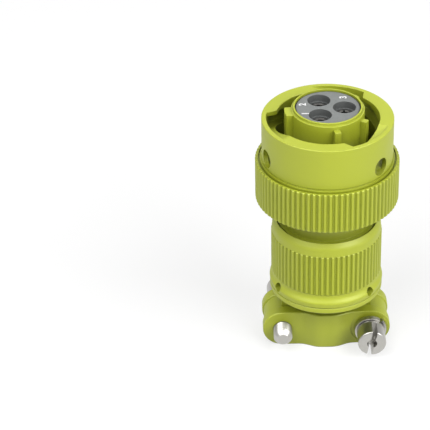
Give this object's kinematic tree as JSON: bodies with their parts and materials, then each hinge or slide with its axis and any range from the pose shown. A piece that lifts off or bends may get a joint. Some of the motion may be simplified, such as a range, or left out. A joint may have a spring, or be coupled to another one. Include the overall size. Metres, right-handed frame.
{
  "type": "twist-lock cable connector",
  "caption": "Round twist-lock cable connector with a knurled bayonet ring, keyed socket barrel, screwed backshell nut and a two-screw cable clamp that it stands on.",
  "frame": {"origin": "on the connector's axis at the level of the surface that the clamp bars stand on", "axes": "+Z along the axis to the mating face, X along the clamp bars, -Y the side of the front bar"},
  "size_m": [0.0308, 0.0308, 0.0584],
  "materials": {
    "olive_plated_aluminium": "satin olive plating",
    "plated_steel": "bright plated",
    "polished_steel": "polished",
    "grey_insulator": "moulded, satin",
    "teal_silicone": "matte",
    "dark_rubber": "matte",
    "silver_contact": "silver plated",
    "spring_bronze": "bright"
  },
  "bodies": {
    "shell": {"plug_shell": "olive_plated_aluminium", "front_insert": "grey_insulator", "rear_insert": "grey_insulator", "wire_grommet": "teal_silicone", "shell_seal": "dark_rubber", "backshell_oring": "dark_rubber", "thrust_washer": "polished_steel", "wave_spring": "polished_steel", "contact_1": "silver_contact", "contact_2": "silver_contact", "contact_3": "silver_contact", "contact_clip_1": "spring_bronze", "contact_clip_2": "spring_bronze", "contact_clip_3": "spring_bronze"},
    "ring_carrier": {"retaining_ring": "polished_steel"},
    "twist_ring": {"coupling_ring": "olive_plated_aluminium"},
    "backshell": {"clamp_body": "olive_plated_aluminium", "snap_ring": "polished_steel"},
    "nut": {"backshell_nut": "olive_plated_aluminium"},
    "front_clamp": {"front_bar": "olive_plated_aluminium", "front_spring_washer": "plated_steel"},
    "back_clamp": {"back_bar": "olive_plated_aluminium", "back_spring_washer": "plated_steel"},
    "front_bolt": {"front_screw": "plated_steel"},
    "back_bolt": {"back_screw": "plated_steel"}
  },
  "joints": [
    {"name": "ring_float", "type": "slide", "parent": "shell", "child": "ring_carrier", "axis": [0, 0, 1], "range_m": [0, 0.0008], "stiffness_N_per_m": 2000, "springref_m": -0.0005, "deforming": ["wave_spring"]},
    {"name": "ring_turn", "type": "hinge", "parent": "ring_carrier", "child": "twist_ring", "pos_m": [0, 0, 0.0462], "axis": [0, 0, 1], "continuous": true},
    {"name": "backshell_slide", "type": "slide", "parent": "shell", "child": "backshell", "axis": [0, 0, -1], "range_m": [0, 0.005]},
    {"name": "nut_turn", "type": "hinge", "parent": "backshell", "child": "nut", "pos_m": [0, 0, 0.0218], "axis": [0, 0, -1], "range_deg": [0, 1800]},
    {"name": "front_bar_slide", "type": "slide", "parent": "backshell", "child": "front_clamp", "axis": [0, -1, 0], "range_m": [0, 0.0014]},
    {"name": "front_screw_turn", "type": "hinge", "parent": "front_clamp", "child": "front_bolt", "pos_m": [0.00975, -0.005, 0.0043], "axis": [0, -1, 0], "range_deg": [0, 1440]},
    {"name": "back_bar_slide", "type": "slide", "parent": "backshell", "child": "back_clamp", "axis": [0, 1, 0], "range_m": [0, 0.0014]},
    {"name": "back_screw_turn", "type": "hinge", "parent": "back_clamp", "child": "back_bolt", "pos_m": [-0.00975, 0.005, 0.0043], "axis": [0, 1, 0], "range_deg": [0, 1440]}
  ],
  "couplings": [
    {"joint": "backshell_slide", "follows": "nut_turn", "m_per_rad": 0.00015915},
    {"joint": "front_screw_turn", "follows": "front_bar_slide", "rad_per_m": 17951},
    {"joint": "back_bar_slide", "follows": "front_bar_slide", "ratio": 1},
    {"joint": "back_screw_turn", "follows": "front_bar_slide", "rad_per_m": 17951}
  ]
}
